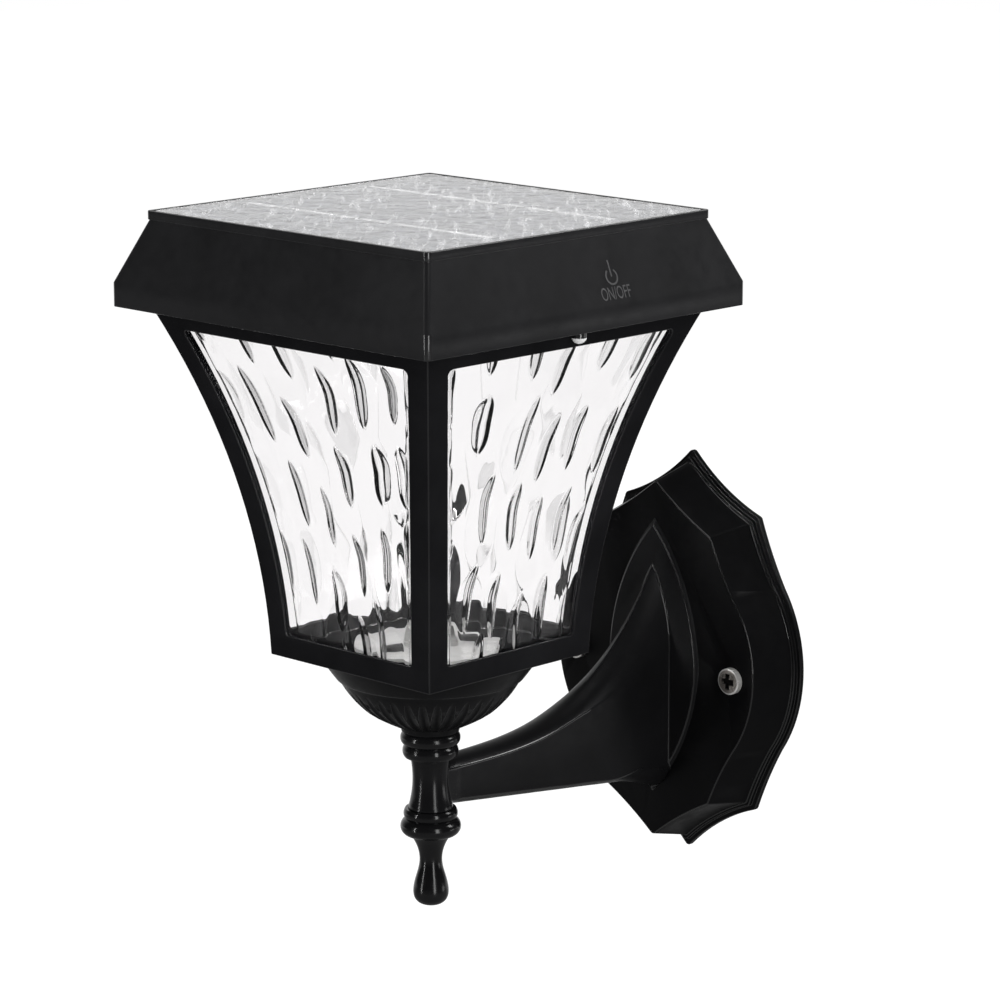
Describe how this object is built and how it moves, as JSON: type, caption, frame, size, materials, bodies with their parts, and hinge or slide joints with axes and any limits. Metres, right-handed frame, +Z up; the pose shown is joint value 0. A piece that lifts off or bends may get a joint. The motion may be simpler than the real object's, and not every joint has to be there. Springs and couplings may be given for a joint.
{
  "type": "wall light",
  "caption": "Solar wall lantern: square flared lantern under a sloped cap, rippled clear windows, fluted bowl, turned drop, bracket arm and shaped wall plate, with a push switch.",
  "frame": {"origin": "middle of the wall plate's back face, on the wall", "axes": "+Y into the wall, +Z up, +X to the right for someone facing the wall"},
  "size_m": [0.15, 0.223, 0.2506],
  "materials": {
    "black": "satin black moulded plastic",
    "gloss_black": "glossy black moulded plastic",
    "panel_clear": "clear cast resin with a wavy surface",
    "cell": "dark silicon",
    "ribbon": "tinned copper",
    "backing": "laminate backing board",
    "seal": "foam rubber",
    "steel": "zinc plated steel",
    "bright_screw": "nickel plated steel",
    "dark_screw": "blackened steel",
    "battery_wrap": "shrink wrap over a steel can",
    "holder": "black moulded plastic",
    "board": "green solder mask",
    "component": "moulded electronic parts",
    "led_panel": "white coated aluminium board",
    "phosphor": "yellow phosphor",
    "opal": "opal plastic",
    "window": "clear plastic with a water-ripple surface",
    "reflector": "pale grey plastic",
    "wire_red": "vinyl insulation",
    "wire_white": "vinyl insulation",
    "spring_steel": "spring wire",
    "button_chrome": "chrome plated",
    "plunger": "acetal"
  },
  "bodies": {
    "root": {"cap_shell": "black", "cap_base": "black", "lantern_frame": "black", "bowl": "black", "wall_plate": "black", "arm": "black", "collar": "gloss_black", "finial": "gloss_black", "panel_cover": "panel_clear", "solar_cells": "cell", "cell_ribbons": "ribbon", "battery_contacts": "ribbon", "panel_board": "backing", "panel_gasket": "seal", "frame_gasket": "seal", "cap_screws": "steel", "frame_screws": "steel", "board_screws": "steel", "led_screws": "steel", "arm_screws": "steel", "tie_rod": "steel", "rod_nut": "steel", "rod_washer": "steel", "wall_screws": "bright_screw", "reflector_screws": "dark_screw", "battery": "battery_wrap", "battery_holder": "holder", "switch_body": "holder", "control_board": "board", "board_parts": "component", "led_board": "led_panel", "leds": "phosphor", "led_diffuser": "opal", "window_front": "window", "window_right": "window", "window_back": "window", "window_left": "window", "reflector": "reflector", "panel_leads": "wire_red", "battery_leads": "wire_red", "led_leads": "wire_white", "switch_leads": "wire_white", "return_spring": "spring_steel"},
    "button": {"push_button": "button_chrome", "switch_plunger": "plunger"}
  },
  "joints": [
    {"name": "button_press", "type": "slide", "parent": "root", "child": "button", "axis": [0, 0, 1], "range_m": [0, 0.001], "stiffness_N_per_m": 800, "springref_m": -0.001, "deforming": ["return_spring"]}
  ]
}
